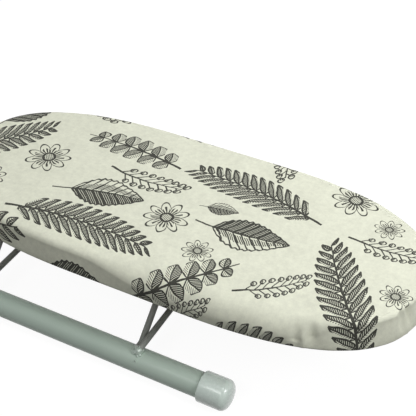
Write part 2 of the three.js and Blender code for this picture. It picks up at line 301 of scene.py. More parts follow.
def noise_at(tree, point, scale, detail, roughness=0.5):
    node = add(tree, "ShaderNodeTexNoise", Scale=scale, Detail=detail, Roughness=roughness)
    link(tree, point, node.inputs["Vector"])
    return Value(tree, node.outputs["Fac"])


def ramp(tree, fac, stops):
    node = tree.nodes.new("ShaderNodeValToRGB")
    elements = node.color_ramp.elements
    while len(elements) < len(stops):
        elements.new(0.5)
    for element, (place, colour) in zip(elements, stops):
        element.position = place
        element.color = (*colour, 1)
    link(tree, fac, node.inputs["Fac"])
    return node.outputs["Color"]


def bump(tree, shader, height, strength, distance):
    node = add(tree, "ShaderNodeBump", Strength=strength, Distance=distance)
    link(tree, height, node.inputs["Height"])
    link(tree, node.outputs["Normal"], shader.inputs["Normal"])


def scaled(tree, fac, low, high):
    node = add(tree, "ShaderNodeMapRange", To_Min=low, To_Max=high)
    link(tree, fac, node.inputs["Value"])
    return Value(tree, node.outputs["Result"])


def mixed(tree, fac, first, second):
    """A colour between the first, a socket, and the second, a plain colour."""
    node = tree.nodes.new("ShaderNodeMix")
    node.data_type = "RGBA"
    link(tree, fac, node.inputs["Factor"])
    link(tree, first, node.inputs[6])
    node.inputs[7].default_value = (*second, 1)
    return node.outputs[2]


def srgb(red, green, blue):
    def line(value):
        value /= 255
        return value / 12.92 if value <= 0.04045 else ((value + 0.055) / 1.055) ** 2.4

    return (line(red), line(green), line(blue))


# Printed cotton: loose leaf sprigs, berries and daisies in charcoal on cream.
# Each motif is drawn once in its own millimetres, along and across its stem, then placed on the cloth.
INK_LINE = 0.95
INK_WANDER = 3.2


def stem_and_leaves(along, across, length, bow, pitch, angle, leaf, width, form, stagger, bare):
    """The ink of a bowed stem with leaves or berries to both sides."""
    side = across - along * along * (bow / length)
    upper = side > 0.0
    reach = abs(side)
    angle = math.radians(angle)
    shifted = along + upper * (pitch * stagger)
    lean = shifted - reach * (1 / math.tan(angle))
    index = (lean * (1 / pitch) + 0.5).call("FLOOR")
    rest = shifted - index * pitch
    a = rest * math.cos(angle) + reach * math.sin(angle)
    b = rest * math.sin(angle) - reach * math.cos(angle)
    share = (index - upper * stagger) * (pitch / length)
    on_stem = (share > bare) * (share < 1.01)
    size = (1.12 - share) * (share * 2.2 + 0.5) * leaf
    x = a / size
    if form == "berry":
        radius = width * leaf
        ring = ((a - size) * (a - size) + b * b).call("SQRT")
        outline = abs(ring - radius) < INK_LINE
        lines = abs(((b - a) * 0.9).call("SINE")) > 0.3
        shade = (ring < radius) * (b + a - size < radius * 0.1) * lines
        stalk = (abs(b) < INK_LINE * 0.9) * (x > 0.0) * (x < 1.0) * (ring > radius)
        ink = either(outline, shade, stalk) * on_stem
    else:
        curl = b - (x * x - x) * (size * 0.24)
        half = (x - x * x) * (size * 4 * width)
        if form == "lance":
            half = half * (1.35 - x * 0.7)
        far = abs(curl)
        dark = curl > 0.0
        outline = abs(far - half) < INK_LINE
        rib = far < INK_LINE * 0.8
        vein = ((a - far * 0.9) * (1 / 2.6)).call("FRACT")
        hatch = (vein < dark * 0.36 + 0.34) * (far < half) * (far > half * (0.2 - dark * 0.2))
        ink = either(outline, rib, hatch) * (x > 0.0) * (x < 1.0) * on_stem
    stem = (reach < along * (-1.0 / length) + 1.7) * (along > 0.0) * (along < length)
    return either(ink, stem)


def broad_leaf(along, across, length, width, bow):
    """The ink of one large leaf with ribs and hatching."""
    x = along * (1 / length)
    curl = across - (x - x * x) * bow
    far = abs(curl)
    wave = (x * 75.0).call("SINE") * 0.045 + 1.0
    half = (x - x * x) * (1.32 - x * 0.64) * wave * (2.0 * width)
    dark = curl < 0.0
    flow = along - far * 0.85 + far * far * 0.006
    outline = abs(far - half) < INK_LINE * 1.2
    rib = far < (1.0 - x) * 1.3 + 0.5
    vein = abs((flow * (1 / 9.0)).call("FRACT") - 0.5) < 0.11
    fine = (flow * (1 / 2.6)).call("FRACT") < dark * 0.25 + 0.52
    shade = fine * (far < half * (dark * 0.35 + 0.6)) * (far > half * (0.14 - dark * 0.12))
    ink = either(outline, rib, vein * (far < half), shade)
    stalk = (far < 1.0) * (x > -0.25) * (x < 0.02)
    return either(ink * (x > 0.0) * (x < 1.0), stalk)


def daisy(along, across, radius, petals):
    """The ink of one open flower head."""
    far = (along * along + across * across).call("SQRT")
    angle = across.call("ARCTAN2", along)
    lobe = abs((angle * (petals / 2.0)).call("SINE"))
    edge = (lobe * 0.42 + 0.58) * radius
    ringed = far > radius * 0.27
    outline = abs(far - edge) < INK_LINE * 1.2
    split = (lobe < 0.16) * (far < edge) * ringed
    ray = ((angle * (petals * 2.5)).call("SINE") > 0.0) * ringed * (far < edge * 0.72)
    eye = abs(far - radius * 0.27) < INK_LINE * 1.4
    dots = ((along * 2.1).call("SINE") * (across * 2.1).call("SINE") > 0.05) * (far < radius * 0.26)
    return either(outline, split, ray, eye, dots)


# Each style of motif with its sizes, as its function takes them
MOTIFS = {
    "willow": (stem_and_leaves, (168, 0.2, 11.5, 46, 37, 0.15, "lance", 0.5, 0.1)),
    "olive": (stem_and_leaves, (140, -0.22, 17, 48, 35, 0.18, "lance", 0.5, 0.14)),
    "coin": (stem_and_leaves, (128, 0.16, 18.5, 62, 24, 0.4, "oval", 0.0, 0.12)),
    "berry": (stem_and_leaves, (104, 0.24, 12, 46, 20, 0.2, "berry", 0.5, 0.12)),
    "leaf": (broad_leaf, (84, 44, 9)),
    "daisy": (daisy, (26, 9)),
}

# Where each motif lies on the cloth: style, place, turn in degrees and size, negative if mirrored
PLACES = [
    ("willow", (-322, -62), 34, 1.0),
    ("olive", (-266, -154), 30, 1.0),
    ("leaf", (-262, 44), 66, 1.0),
    ("berry", (-226, 168), -48, 1.0),
    ("daisy", (-172, 6), 0, 1.0),
    ("coin", (-26, 56), 166, 1.0),
    ("willow", (-164, -86), 14, -1.0),
    ("leaf", (-116, -30), 12, 1.0),
    ("leaf", (-92, -150), 2, -0.95),
    ("berry", (-98, 24), -14, 0.85),
    ("olive", (-122, 154), -18, -1.0),
    ("daisy", (2, -26), 20, 0.95),
    ("willow", (152, 38), 160, 0.95),
    ("coin", (8, -144), 34, 1.0),
    ("leaf", (52, -16), 6, -1.0),
    ("berry", (40, 180), -48, -0.9),
    ("olive", (92, -152), 24, 0.72),
    ("daisy", (170, 94), 10, 1.0),
    ("willow", (276, -124), 138, -1.0),
    ("leaf", (214, 146), -58, 0.95),
    ("coin", (326, -34), 114, 0.95),
    ("berry", (184, 34), -12, 0.75),
    ("berry", (112, -92), 24, 0.7),
    ("daisy", (-306, 96), 0, 0.9),
    ("daisy", (306, -96), 0, 0.9),
    ("daisy", (256, -28), 0, 0.62),
    ("daisy", (56, -58), 15, 0.62),
    ("daisy", (-212, -56), 20, 0.8),
    ("leaf", (32, 10), 8, 0.42),
    ("daisy", (218, 64), 0, 0.6),
    ("berry", (40, -150), 18, 0.6),
]


def motif_group(name):
    """A node group that takes a point in a motif's own millimetres and gives its ink."""
    draw, sizes = MOTIFS[name]
    group = bpy.data.node_groups.new(name, "ShaderNodeTree")
    group.interface.new_socket("Point", in_out="INPUT", socket_type="NodeSocketVector")
    group.interface.new_socket("Ink", in_out="OUTPUT", socket_type="NodeSocketFloat")
    inlet = group.nodes.new("NodeGroupInput")
    outlet = group.nodes.new("NodeGroupOutput")
    along, across = split_point(group, inlet.outputs["Point"])
    ink = draw(along, across, *sizes)
    link(group, ink, outlet.inputs["Ink"])
    return group


def print_ink(tree, point):
    """One number: 1 where the cloth is inked. The lines wander a little, as drawn by hand."""
    wander = add(tree, "ShaderNodeTexNoise", Scale=70, Detail=1)
    link(tree, point, wander.inputs["Vector"])
    shaken = tree.nodes.new("ShaderNodeVectorMath")
    shaken.operation = "MULTIPLY_ADD"
    link(tree, wander.outputs["Color"], shaken.inputs[0])
    shaken.inputs[1].default_value = (INK_WANDER * MM, INK_WANDER * MM, 0)
    link(tree, point, shaken.inputs[2])
    groups = {name: motif_group(name) for name in MOTIFS}
    ink = None
    for name, (x, y), turn, size in PLACES:
        place = add(
            tree, "ShaderNodeMapping", Location=(x * MM, y * MM, 0), Rotation=(0, 0, math.radians(turn)),
            Scale=(abs(size) * MM, size * MM, 1),
        )
        place.vector_type = "TEXTURE"
        link(tree, shaken.outputs["Vector"], place.inputs["Vector"])
        motif = tree.nodes.new("ShaderNodeGroup")
        motif.node_tree = groups[name]
        link(tree, place.outputs["Vector"], motif.inputs["Point"])
        drawn = Value(tree, motif.outputs["Ink"])
        ink = drawn if ink is None else either(ink, drawn)
    return ink


CREAM = srgb(229, 231, 212)
INK = srgb(15, 15, 14)
THREAD = 0.6
STITCH_PITCH = 3.6
STITCH_INSET = 11.5
STITCH_SHARE = 0.72
STITCH_HALF = 0.32
STITCH_COLOUR = srgb(240, 240, 230)


def cloth_material():
    """Woven cotton: the print and the weave follow the flat cloth, the hem stitches its edge."""
    material, tree, shader = new_material("printed_cotton")
    point = flat_map(tree, "cloth")
    ink = print_ink(tree, point)
    fibre = noise_at(tree, point, 900, 3, 0.7)
    worn = ink * scaled(tree, fibre, 0.87, 1.0)
    blotch = noise_at(tree, point, 34, 4, 0.6) * 0.35 + noise_at(tree, point, 150, 5, 0.75) * 0.65
    mottle = ramp(tree, blotch, [
        (0.36, tuple(0.86 * c for c in CREAM)),
        (0.64, tuple(1.04 * c for c in CREAM)),
    ])
    printed = mixed(tree, worn, mottle, INK)
    along, depth = split_point(tree, flat_map(tree, "hem"))
    along = (along * (1 / (STITCH_PITCH * MM))).call("FRACT")
    away = abs(depth * (1 / MM) - STITCH_INSET)
    stitch = (along < STITCH_SHARE) * (away < STITCH_HALF)
    pucker = (away * -0.5).call("EXPONENT")
    sewn = mixed(tree, stitch * 0.8, printed, STITCH_COLOUR)
    link(tree, sewn, shader.inputs["Base Color"])
    warp, weft = split_point(tree, point)
    thread = 2 * math.pi / (THREAD * MM)
    warp = (warp * thread).call("SINE")
    weft = (weft * thread).call("SINE")
    weave = warp * weft * 0.5 + fibre * 0.6 + stitch * 2.0 - pucker * 2.0
    bump(tree, shader, weave, 0.35, 0.00012)
    link(tree, scaled(tree, fibre, 0.82, 0.95), shader.inputs["Roughness"])
    set_inputs(shader, {"Sheen Weight": 0.06, "Specular IOR Level": 0.22})
    return material


def finish(name, tone, colours, gloss, grain, gloss_scale=None, **values):
    """A material whose tone drifts between two colours, with a fine grain in its surface. Its gloss
    follows the tone, or a noise of its own, and values set other sockets of the shader."""
    material, tree, shader = new_material(name)
    point = object_point(tree)
    drift = noise_at(tree, point, *tone)
    link(tree, ramp(tree, drift, colours), shader.inputs["Base Color"])
    wear = drift if gloss_scale is None else noise_at(tree, point, gloss_scale, 2)
    link(tree, scaled(tree, wear, *gloss), shader.inputs["Roughness"])
    scale, strength, depth = grain
    bump(tree, shader, noise_at(tree, point, scale, 2), strength, depth)
    set_inputs(shader, values)
    return material


def patterned(name, kind, output, colours, roughness, strength, depth, **inputs):
    """A material whose colour and relief come from one texture."""
    material, tree, shader = new_material(name)
    texture = add(tree, kind, **inputs)
    link(tree, object_point(tree), texture.inputs["Vector"])
    height = texture.outputs[output]
    link(tree, ramp(tree, height, colours), shader.inputs["Base Color"])
    shader.inputs["Roughness"].default_value = roughness
    bump(tree, shader, height, strength, depth)
    return material


def panel_material():
    material, tree, shader = new_material("particle_board")
    point = object_point(tree)
    chips = add(tree, "ShaderNodeTexVoronoi", Scale=260)
    stretch = add(tree, "ShaderNodeMapping", Scale=(0.55, 1.0, 1.0))
    link(tree, point, stretch.inputs["Vector"])
    link(tree, stretch.outputs["Vector"], chips.inputs["Vector"])
    split = tree.nodes.new("ShaderNodeSeparateColor")
    link(tree, chips.outputs["Color"], split.inputs["Color"])
    colour = ramp(tree, split.outputs[0], [
        (0.0, srgb(150, 113, 70)),
        (0.45, srgb(188, 150, 100)),
        (0.8, srgb(206, 172, 122)),
        (1.0, srgb(120, 86, 52)),
    ])
    link(tree, colour, shader.inputs["Base Color"])
    shader.inputs["Roughness"].default_value = 0.85
    grain = Value(tree, chips.outputs["Distance"]) + noise_at(tree, point, 600, 3) * 0.5
    bump(tree, shader, grain, 0.25, 0.0006)
    return material


PAINT_TONES = [(0.3, srgb(183, 201, 188)), (0.7, srgb(191, 208, 195))]
# The wire's tones are darker than the paint's partly as painted shade from the board above the rods
WIRE_TONES = [(0.3, srgb(147, 150, 145)), (0.7, srgb(160, 163, 157))]
CAP_TONES = [(0.35, srgb(216, 231, 222)), (0.7, srgb(225, 238, 230))]
ZINC_TONES = [(0.3, srgb(150, 153, 158)), (0.7, srgb(196, 198, 200))]
FOAM_TONES = [(0.1, srgb(205, 196, 160)), (0.6, srgb(236, 229, 202))]
ELASTIC_TONES = [(0.2, srgb(205, 205, 200)), (0.8, srgb(238, 238, 233))]

CLOTH = cloth_material()
# Sage powder coat with a light orange peel, glossier where it ran over the welds
PEEL = (420, 0.1, 0.0004)
PAINT = finish("sage_paint", (18, 4, 0.6), PAINT_TONES, (0.4, 0.52), PEEL, Coat_Weight=0.12)
WELD = finish("weld_paint", (18, 4, 0.6), PAINT_TONES, (0.2, 0.32), PEEL, Coat_Weight=0.6)
# Grey lacquer on the bent wire, duller than the tubes' coat. Its neutral grey hue is the wire's own; its
# darker tone is partly painted shade from the board above the rods
WIRE = finish("grey_wire", (40, 4, 0.6), WIRE_TONES, (0.56, 0.72), (500, 0.12, 0.0003))
CAP = finish(
    "cap_plastic", (26, 3, 0.5), CAP_TONES, (0.22, 0.32), (420, 0.03, 0.0003), gloss_scale=300,
    Coat_Weight=0.6, Coat_Roughness=0.14, Subsurface_Weight=0.1, Subsurface_Radius=(0.004, 0.004, 0.004),
)
ZINC = finish("zinc_plate", (160, 4, 0.65), ZINC_TONES, (0.28, 0.5), (900, 0.1, 0.0003), Metallic=1.0)
PANEL = panel_material()
FOAM = patterned(
    "pad_foam", "ShaderNodeTexVoronoi", "Distance", FOAM_TONES, 0.95, 0.4, 0.0006, Scale=700,
)
ELASTIC = patterned(
    "elastic_cord", "ShaderNodeTexWave", "Fac", ELASTIC_TONES, 0.9, 0.3, 0.0004, Scale=600, Distortion=2,
)


# Mesh helpers
def make_piece(name, points, faces, material, body, nodes, smooth=True, flat_maps=None):
    """A mesh piece on a body; flat_maps gives named maps of one (u, v) in millimetres for each point."""
    mesh = bpy.data.meshes.new(name)
    mesh.from_pydata([Vector(p) * MM for p in points], [], faces)
    for map_name, places in (flat_maps or {}).items():
        layer = mesh.uv_layers.new(name=map_name)
        corners = np.empty(len(mesh.loops), dtype=np.int64)
        mesh.loops.foreach_get("vertex_index", corners)
        layer.data.foreach_set("uv", (np.asarray(places)[corners] * MM).ravel())
    mesh.materials.append(material)
    tidy = bmesh.new()
    tidy.from_mesh(mesh)
    bmesh.ops.recalc_face_normals(tidy, faces=tidy.faces)
    tidy.to_mesh(mesh)
    tidy.free()
    mesh.polygons.foreach_set("use_smooth", [smooth] * len(mesh.polygons))
    piece = bpy.data.objects.new(name, mesh)
    scene.collection.objects.link(piece)
    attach(piece, body)
    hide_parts(*nodes)
    return piece


def bridge(rings, closed=False):
    """Quads between rings of equal count; a closed set joins the last ring to the first."""
    count = len(rings[0])
    points = [p for ring in rings for p in ring]
    faces = []
    rows = len(rings) if closed else len(rings) - 1
    for row in range(rows):
        low = row * count
        high = (row + 1) % len(rings) * count
        for step in range(count):
            following = (step + 1) % count
            faces.append((low + step, low + following, high + following, high + step))
    return points, faces


def capped(rings):
    """Quads between rings, and a face over each end."""
    points, faces = bridge(rings)
    count = len(rings[0])
    last = len(points) - count
    faces.append(tuple(reversed(range(count))))
    faces.append(tuple(range(last, last + count)))
    return points, faces


def lathe(profile, centre, axis, sides, closed=False):
    """A profile of (radius, distance) turned about an axis; a radius of zero closes an end."""
    axis = Vector(axis).normalized()
    first = axis.orthogonal().normalized()
    second = axis.cross(first)
    points = []
    faces = []
    rows = []
    for radius, along in profile:
        if radius == 0:
            rows.append([len(points)])
            points.append(Vector(centre) + axis * along)
            continue
        row = []
        for step in range(sides):
            angle = 2 * math.pi * step / sides
            row.append(len(points))
            around = first * math.cos(angle) + second * math.sin(angle)
            points.append(Vector(centre) + axis * along + around * radius)
        rows.append(row)
    pairs = list(zip(rows, rows[1:]))
    if closed:
        pairs.append((rows[-1], rows[0]))
    for low, high in pairs:
        for step in range(sides):
            following = (step + 1) % sides
            if len(low) == 1:
                faces.append((low[0], high[following], high[step]))
            elif len(high) == 1:
                faces.append((low[step], low[following], high[0]))
            else:
                faces.append((low[step], low[following], high[following], high[step]))
    return points, faces


def arc(centre, radius, start, end, steps):
    points = []
    for step in range(steps + 1):
        angle = math.radians(start + (end - start) * step / steps)
        points.append((centre[0] + radius * math.cos(angle), centre[1] + radius * math.sin(angle)))
    return points


DOME_STEPS = 4
DOME_HEIGHT = 0.4
DOME_TIP = 0.06


def sweep(path):
    """A wire along a path, with a low dome at each end."""
    path = [Vector(p) for p in path]
    tangents = []
    for step, here in enumerate(path):
        into = (here - path[max(step - 1, 0)]).normalized()
        out = (path[min(step + 1, len(path) - 1)] - here).normalized()
        tangents.append((into + out).normalized())
    dome = []
    for step in range(DOME_STEPS):
        angle = math.pi / 2 * step / DOME_STEPS
        size = ROD_RADIUS * max(math.sin(angle), DOME_TIP)
        dome.append((DOME_HEIGHT * ROD_RADIUS * math.cos(angle), size))
    stations = [(path[0] - tangents[0] * out, tangents[0], size) for out, size in dome]
    stations += [(here, tangent, ROD_RADIUS) for here, tangent in zip(path, tangents)]
    stations += [(path[-1] + tangents[-1] * out, tangents[-1], size) for out, size in reversed(dome)]
    rings = []
    for here, tangent, size in stations:
        side = Vector((1, 0, 0))
        side = (side - tangent * side.dot(tangent)).normalized()
        up = tangent.cross(side)
        ring = []
        for turn in range(ROD_SIDES):
            angle = 2 * math.pi * turn / ROD_SIDES
            ring.append(here + side * (size * math.cos(angle)) + up * (size * math.sin(angle)))
        rings.append(ring)
    return capped(rings)


def bent_line(corners):
    """A line through the corners, each rounded to the radius of the wire's bends."""
    line = [Vector(corners[0])]
    for step in range(1, len(corners) - 1):
        corner = Vector(corners[step])
        back = (Vector(corners[step - 1]) - corner).normalized()
        ahead = (Vector(corners[step + 1]) - corner).normalized()
        half = back.angle(ahead) / 2
        middle = corner + (back + ahead).normalized() * (STRUT_BEND / math.sin(half))
        reach = STRUT_BEND / math.tan(half)
        start = corner + back * reach - middle
        end = corner + ahead * reach - middle
        turn = start.angle(end)
        for part in range(BEND_STEPS + 1):
            share = part / BEND_STEPS
            blend = start * math.sin((1 - share) * turn) + end * math.sin(share * turn)
            line.append(middle + blend / math.sin(turn))
    line.append(Vector(corners[-1]))
    return line


BEVEL_ANGLE = math.radians(40)
SHARP_ANGLE = math.radians(50)


def bevel(piece, width):
    modifier = piece.modifiers.new("soft edges", "BEVEL")
    modifier.width = width * MM
    modifier.segments = 2
    modifier.limit_method = "ANGLE"
    modifier.angle_limit = BEVEL_ANGLE


def sharpen(piece):
    piece.data.set_sharp_from_angle(angle=SHARP_ANGLE)


# Outline of the board, walked at even steps
RING_STEPS = 600


def outline_points():
    """Points on the outline, the way out at each, how far each is along it, its length and its bend."""
    fine = 20000
    angles = np.linspace(0, 2 * math.pi, fine, endpoint=False)
    power = 2 / END_FULLNESS
    straight = BOARD_LENGTH / 2 - END_LENGTH
    along = np.sign(np.cos(angles)) * (straight + END_LENGTH * np.abs(np.cos(angles)) ** power)
    across = np.sign(np.sin(angles)) * BOARD_WIDTH / 2 * np.abs(np.sin(angles)) ** power
    points = np.column_stack([along, across])
    steps = np.linalg.norm(np.roll(points, -1, axis=0) - points, axis=1)
    walked = np.concatenate([[0], np.cumsum(steps)])
    places = np.linspace(0, walked[-1], RING_STEPS, endpoint=False)
    closed = np.vstack([points, points[:1]])
    ring = np.column_stack([np.interp(places, walked, closed[:, axis]) for axis in (0, 1)])
    ahead = np.roll(ring, -1, axis=0) - np.roll(ring, 1, axis=0)
    outward = np.column_stack([ahead[:, 1], -ahead[:, 0]])
    outward /= np.linalg.norm(outward, axis=1)[:, None]
    turn = np.arctan2(outward[:, 1], outward[:, 0])
    turned = np.angle(np.exp(1j * (np.roll(turn, -1) - np.roll(turn, 1))))
    bend = turned / (2 * walked[-1] / RING_STEPS)
    return ring, outward, places, walked[-1], bend


RING, OUTWARD, WALKED, ROUND_LENGTH, BEND = outline_points()


def smooth_step(low, high, value):
    share = np.clip((value - low) / (high - low), 0, 1)
    return share * share * (3 - 2 * share)


def round_noise(pitch, seed):
    """Smooth noise round the outline, about -1 to 1, with lumps about pitch apart."""
    radius = ROUND_LENGTH / (2 * math.pi * pitch)
    values = []
    for walked in WALKED:
        angle = 2 * math.pi * walked / ROUND_LENGTH
        spot = Vector((radius * math.cos(angle), radius * math.sin(angle), seed))
        values.append(2 * noise.noise(spot))
    return np.array(values)


# How the cloth lies round the edge: soft where the pad rolls over it, firm at the ends
TIP_SHARE = smooth_step(TIP_FROM, TIP_TO, RING[:, 0])
SOFT_SHARE = smooth_step(SOFT_FROM, SOFT_TO, RING[:, 0]) * (1 - TIP_SHARE)
SOFT_SHARE = SOFT_SHARE * smooth_step(0, SOFT_FRONT, RING[:, 1])


def edge_value(firm, soft, tip):
    return firm + (soft - firm) * SOFT_SHARE + (tip - firm) * TIP_SHARE


SAG = SOFT_SHARE * np.exp(-((RING[:, 0] - SAG_PLACE) / SAG_WIDTH) ** 2)
REACH = edge_value(FIRM_REACH, SOFT_REACH, TIP_REACH) + SAG_REACH * SAG
DROP = edge_value(FIRM_DROP, SOFT_DROP, TIP_DROP) + SAG_DROP * SAG
CROWN = edge_value(FIRM_CROWN, SOFT_CROWN, TIP_CROWN) + SAG_CROWN * SAG
LEAN = edge_value(FIRM_LEAN, 0.0, TIP_LEAN)
END_SHARE = smooth_step(END_BEND_FROM, END_BEND_FULL, np.abs(BEND))

# Tucks where the elastic pulls a fold up into the side: place along X, side in Y, depth, width
TUCKS = [
    (192, -1, 1.4, 4.8),
    (274, -1, 1.3, 3.6),
    (262, 1, 0.8, 5.0),
    (-205, 1, 0.9, 6.0),
    (-268, -1, 0.8, 5.0),
    (150, 1, 0.5, 6.0),
]
TUCK_RIDGE = 1.0
TUCK_HOLLOW = 2.8
TUCK_SPREAD = 1.5
TUCK_WEAK_SIDE = 0.7
TUCK_FROM = 0.25
TUCK_FULL = 0.85
TUCK_SINK = 0.4
TUCK_LOW = 4
TUCK_LOW_SHARE = 0.1
FOLD = 1.2
FOLD_ABOVE = 9.0
FOLD_BELOW = 6.0
FOLD_FADE = (6, 16)
FOLD_LOW = 12
FOLD_LOW_SHARE = 0.3
FOLD_SIDE_SHARE = 0.15
GATHER = 2.3
GATHER_SIDE_SHARE = 0.5


def tuck_shape():
    """Outward push of the tucks' ridges and inward pull of the hollows beside them."""
    ridge = np.zeros(RING_STEPS)
    hollow = np.zeros(RING_STEPS)
    for place, side, depth, width in TUCKS:
        far = np.abs(RING[:, 0] - place) + np.where(RING[:, 1] * side > 0, 0, np.inf)
        middle = WALKED[int(np.argmin(far))]
        away = (WALKED - middle + ROUND_LENGTH / 2) % ROUND_LENGTH - ROUND_LENGTH / 2
        ridge += depth * np.exp(-(away * 2 / width) ** 2)
        hollow += depth * np.exp(-((away - TUCK_SPREAD * width) / width) ** 2)
        hollow += depth * TUCK_WEAK_SIDE * np.exp(-((away + TUCK_SPREAD * width) / width) ** 2)
    return ridge, hollow


RIDGE, HOLLOW = tuck_shape()
FOLDS = np.clip(0.55 * round_noise(17, 3.0) + 0.35 * round_noise(8, 9.0) + 0.25, 0, 1)
GATHERS = np.clip(0.5 + 0.6 * round_noise(8, 21.0) + 0.3 * round_noise(4.5, 33.0), 0, 1)


def crown_fall(inset):
    """How far the top has fallen at an inset from the outline."""
    return CROWN * np.clip(1 - inset / CROWN_WIDTH, 0, 1) ** 2


def edge_row(angle):
    """Inset and height of the cloth at an angle round the rounded edge, 0 on top to a right angle."""
    inset = LEAN + REACH * (1 - np.sin(angle))
    height = COVER_TOP - crown_fall(inset) - DROP * (1 - np.cos(angle))
    pull = TUCK_HOLLOW * HOLLOW * smooth_step(TUCK_FROM, TUCK_FULL, angle / (math.pi / 2))
    return inset + pull, height - pull * TUCK_SINK


def clear_of_panel(inset, height):
    """The inset, held back where a hollow would press the cloth into the panel's rounded side."""
    rise = np.clip(height - PANEL_TOP + PANEL_ROUND, 0, PANEL_ROUND)
    side = PANEL_INSET + PANEL_ROUND - np.sqrt(PANEL_ROUND ** 2 - rise ** 2)
    most = side - CLOTH_THICKNESS - CLOTH_CLEAR
    return np.where(height < PANEL_TOP, np.minimum(inset, most), inset)


def crown_rows(steps):
    """Rows of inset and height over the top, from the level middle to the rounded edge."""
    rows = []
    for step in range(steps):
        inset = CROWN_WIDTH + (LEAN + REACH - CROWN_WIDTH) * step / steps
        rows.append((inset, COVER_TOP - crown_fall(inset)))
    return rows


def cover_rows():
    """Rows of inset and height round the outline, from the crown of the top to the rolled hem."""
    rows = crown_rows(CROWN_STEPS)
    edge_steps = 16
    for step in range(edge_steps + 1):
        inset, height = edge_row(math.pi / 2 * step / edge_steps)
        rows.append((clear_of_panel(inset, height), height))
    side_top = rows[-1][1]
    low = COVER_BOTTOM + LOWER_ROUND
    side_steps = 5
    for step in range(1, side_steps):
        height = side_top + (low - side_top) * step / side_steps
        rise = smooth_step(COVER_BOTTOM + TUCK_LOW, PANEL_TOP, height)
        pull = TUCK_HOLLOW * HOLLOW * (TUCK_LOW_SHARE + (1 - TUCK_LOW_SHARE) * rise)
        rows.append((clear_of_panel(LEAN * (1 - step / side_steps) + pull, height), height))
    rows += arc((LOWER_ROUND, low), LOWER_ROUND, 180, 270, 6)
    hem_low = HEM_HEIGHT - HEM_RADIUS
    under_steps = 9
    for step in range(1, under_steps + 1):
        share = step / under_steps
        inset = LOWER_ROUND + (HEM_MIDDLE - LOWER_ROUND) * share
        rows.append((inset, COVER_BOTTOM + (hem_low - COVER_BOTTOM) * smooth_step(0, 1, share)))
    rows += arc((HEM_MIDDLE, HEM_HEIGHT), HEM_RADIUS, 270, 450, 8)[1:]
    return rows


def fold_rows(rows):
    """The same rows with the tucks, side folds and gathers of the drawn-up cloth pushed into them."""
    folded = []
    for inset, height in rows:
        side = smooth_step(PANEL_TOP + FOLD_ABOVE, PANEL_TOP - FOLD_BELOW, height)
        side = side * (1 - smooth_step(*FOLD_FADE, inset))
        rise = smooth_step(COVER_BOTTOM, COVER_BOTTOM + FOLD_LOW, height)
        folds = FOLD * (FOLD_SIDE_SHARE + (1 - FOLD_SIDE_SHARE) * END_SHARE) * FOLDS
        push = side * (FOLD_LOW_SHARE + (1 - FOLD_LOW_SHARE) * rise) * (folds + TUCK_RIDGE * RIDGE)
        under = smooth_step(LOWER_ROUND - 1, HEM_MIDDLE - 6, inset) * (height < PANEL_BOTTOM)
        under *= 1 - smooth_step(HEM_MIDDLE - 3, HEM_MIDDLE, inset)
        share = GATHER_SIDE_SHARE + (1 - GATHER_SIDE_SHARE) * END_SHARE
        drop = under * GATHER * share * GATHERS
        folded.append((inset - push, height - drop))
    return folded


def toward_spine(flat, share):
    """A ring drawn in to the board's middle line; a share of 1 leaves it where it is."""
    spine = np.column_stack([np.clip(flat[:, 0], -SPINE_HALF, SPINE_HALF), np.zeros(RING_STEPS)])
    return spine + (flat - spine) * share


def raised(flat, height):
    """A flat ring lifted to a height, which is one number or one for each point."""
    return np.column_stack([flat, np.broadcast_to(height, RING_STEPS)])


def ring_at(inset, height):
    """The outline drawn in by an inset and lifted to a height."""
    return raised(RING - OUTWARD * np.broadcast_to(inset, RING_STEPS)[:, None], height)


def drawn_in(ring, share):
    """A level ring drawn in to the board's middle line."""
    return raised(toward_spine(ring[:, :2], share), ring[:, 2])


# Cover: one cloth drawn over the pad and gathered under the edge
def cover():
    plain = cover_rows()
    rows = fold_rows(plain)
    inner = RING - OUTWARD * CROWN_WIDTH
    rings = []
    flats = []
    depths = []
    inner_steps = 11
    far_from_hem = -100.0
    for step in range(inner_steps):
        flat = toward_spine(inner, SPINE_SHARE + (1 - SPINE_SHARE) * step / inner_steps)
        rings.append(raised(flat, COVER_TOP))
        flats.append(flat)
        depths.append(np.full(RING_STEPS, far_from_hem))
    length = np.zeros(RING_STEPS)
    before = plain[0]
    for row, (inset, height) in zip(plain, rows):
        length = length + np.hypot(row[0] - before[0], row[1] - before[1])
        before = row
        rings.append(ring_at(inset, height))
        flats.append(inner + OUTWARD * length[:, None])
        depths.append(length)
    rings = np.array(rings)
    for ring in rings[:inner_steps + CROWN_STEPS + 1]:
        for place in ring:
            spot = Vector((place[0] / TOP_WAVE_LENGTH, place[1] / TOP_WAVE_LENGTH, 2.0))
            place[2] += TOP_WAVE * noise.noise(spot)
    points, faces = bridge(rings.tolist())
    faces.append(tuple(range(RING_STEPS)))
    hem = [np.column_stack([WALKED, length - depth]) for depth in depths]
    maps = {"cloth": np.concatenate(flats), "hem": np.concatenate(hem)}
    piece = make_piece(
        "board_cover", points, faces, CLOTH, "board", ["cover"], flat_maps=maps,
    )
    thick = piece.modifiers.new("cloth thickness", "SOLIDIFY")
    thick.thickness = CLOTH_THICKNESS * MM
    thick.offset = -1
    return piece, length.mean() - CROWN_WIDTH


COVER, CLOTH_TURN_IN = cover()


